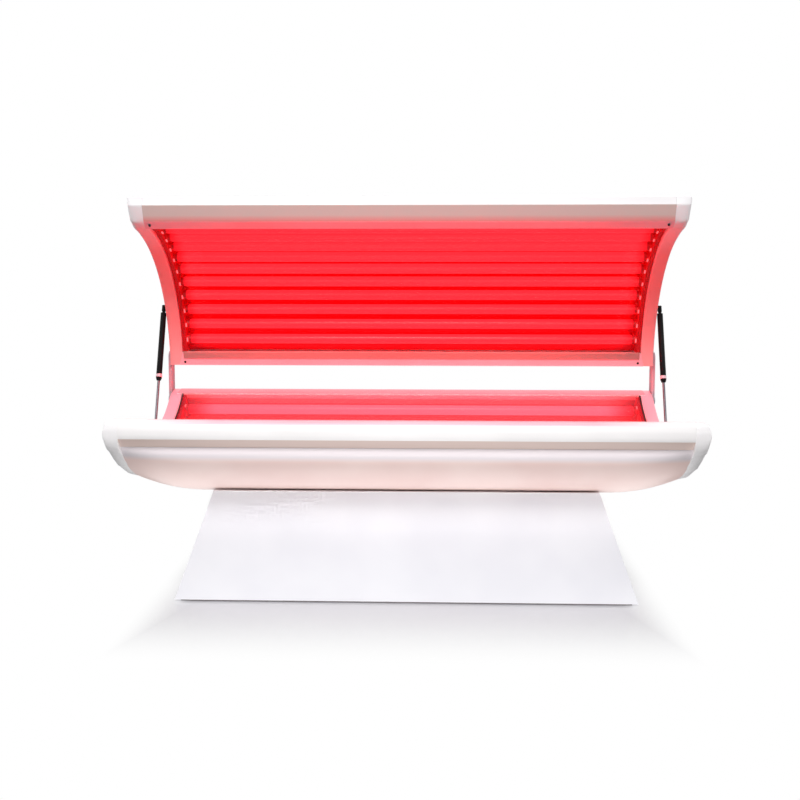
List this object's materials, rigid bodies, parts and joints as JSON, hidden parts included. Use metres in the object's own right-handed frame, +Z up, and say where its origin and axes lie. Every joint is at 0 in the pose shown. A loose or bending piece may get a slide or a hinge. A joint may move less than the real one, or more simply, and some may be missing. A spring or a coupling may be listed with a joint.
{
  "type": "red light therapy bed",
  "caption": "Clamshell light therapy bed: boat-shaped lamp trough on a tapered pedestal, with a hinged lamp canopy held open by gas struts.",
  "frame": {"origin": "on the floor, under the middle of the open bed's bounding box", "axes": "+X along the bed, -Y towards the front, where a person gets in, +Z up"},
  "size_m": [1.938, 0.8922, 1.3624],
  "materials": {
    "white_board": "white lacquered board, satin",
    "white_plastic": "moulded white ABS, satin gloss",
    "white_rail": "white powder-coated aluminium",
    "clear_acrylic": "clear cast acrylic sheet",
    "reflector": "bright reflector sheet lit red by the lamps",
    "lampholder": "moulded lampholder strip",
    "red_lamp": "coated red lamp tube, lit",
    "steel": "zinc-plated steel",
    "white_paint": "white painted steel plate",
    "black_paint": "black painted tube",
    "chrome": "hard chrome",
    "black_rubber": "moulded rubber",
    "black_plastic": "moulded black plastic",
    "dark_board": "dark stained plywood board",
    "dark_casing": "potted ballast casing"
  },
  "bodies": {
    "bed": {"pedestal_front_panel": "white_board", "pedestal_rear_panel": "white_board", "pedestal_left_panel": "white_board", "pedestal_right_panel": "white_board", "pedestal_floor_plate": "dark_board", "pedestal_top_plate": "dark_board", "ballast_box": "dark_casing", "power_inlet": "black_plastic", "bed_hull": "white_plastic", "bed_front_rail": "white_rail", "bed_rear_rail": "white_rail", "bed_end_cap_left": "white_plastic", "bed_end_cap_right": "white_plastic", "bed_acrylic": "clear_acrylic", "bed_reflector": "reflector", "bed_lampholder_strip_left": "lampholder", "bed_lampholder_strip_right": "lampholder", "bed_lamp_01": "red_lamp", "bed_lamp_02": "red_lamp", "bed_lamp_03": "red_lamp", "bed_lamp_04": "red_lamp", "bed_lamp_05": "red_lamp", "bed_lamp_06": "red_lamp", "bed_lamp_07": "red_lamp", "bed_lamp_08": "red_lamp", "hinge_pin_left": "steel", "hinge_pin_right": "steel", "strut_lower_stud_left": "steel", "strut_lower_stud_right": "steel"},
    "canopy": {"canopy_shell": "white_plastic", "canopy_lip_rail": "white_rail", "canopy_rear_rail": "white_rail", "canopy_end_cap_left": "white_plastic", "canopy_end_cap_right": "white_plastic", "canopy_acrylic": "clear_acrylic", "canopy_reflector": "reflector", "canopy_lampholder_strip_left": "lampholder", "canopy_lampholder_strip_right": "lampholder", "canopy_lamp_01": "red_lamp", "canopy_lamp_02": "red_lamp", "canopy_lamp_03": "red_lamp", "canopy_lamp_04": "red_lamp", "canopy_lamp_05": "red_lamp", "canopy_lamp_06": "red_lamp", "canopy_lamp_07": "red_lamp", "canopy_lamp_08": "red_lamp", "canopy_lamp_09": "red_lamp", "canopy_lamp_10": "red_lamp", "canopy_lamp_11": "red_lamp", "lip_bumper_left": "black_rubber", "lip_bumper_right": "black_rubber", "hinge_arm_left": "white_paint", "hinge_arm_right": "white_paint", "strut_upper_stud_left": "steel", "strut_upper_stud_right": "steel"},
    "strut_cylinder_left": {"strut_cylinder_left": "black_paint"},
    "strut_cylinder_right": {"strut_cylinder_right": "black_paint"},
    "strut_rod_left": {"strut_rod_left": "chrome"},
    "strut_rod_right": {"strut_rod_right": "chrome"},
    "power_switch": {"power_switch": "black_plastic"}
  },
  "joints": [
    {"name": "canopy_hinge", "type": "hinge", "parent": "bed", "child": "canopy", "pos_m": [0, 0.3839, 0.598], "axis": [1, 0, 0], "range_deg": [0, 51.65]},
    {"name": "strut_pivot_left", "type": "hinge", "parent": "canopy", "child": "strut_cylinder_left", "pos_m": [-0.958, 0.32979, 0.96208], "axis": [1, 0, 0], "range_deg": [-18.5, 0]},
    {"name": "strut_pivot_right", "type": "hinge", "parent": "canopy", "child": "strut_cylinder_right", "pos_m": [0.958, 0.32979, 0.96208], "axis": [1, 0, 0], "range_deg": [-18.5, 0]},
    {"name": "strut_slide_left", "type": "slide", "parent": "strut_cylinder_left", "child": "strut_rod_left", "axis": [0, 0.3728, 0.9279], "range_m": [0, 0.2135]},
    {"name": "strut_slide_right", "type": "slide", "parent": "strut_cylinder_right", "child": "strut_rod_right", "axis": [0, 0.3728, 0.9279], "range_m": [0, 0.2135]},
    {"name": "switch_rock", "type": "hinge", "parent": "bed", "child": "power_switch", "pos_m": [0.4155, 0.28325, 0.12786], "axis": [1, 0, 0], "range_deg": [0, 16]}
  ],
  "couplings": [
    {"joint": "strut_pivot_left", "follows": "canopy_hinge", "ratio": -0.3566},
    {"joint": "strut_pivot_right", "follows": "canopy_hinge", "ratio": -0.3566},
    {"joint": "strut_slide_left", "follows": "canopy_hinge", "m_per_rad": 0.23639},
    {"joint": "strut_slide_right", "follows": "canopy_hinge", "m_per_rad": 0.23639}
  ]
}
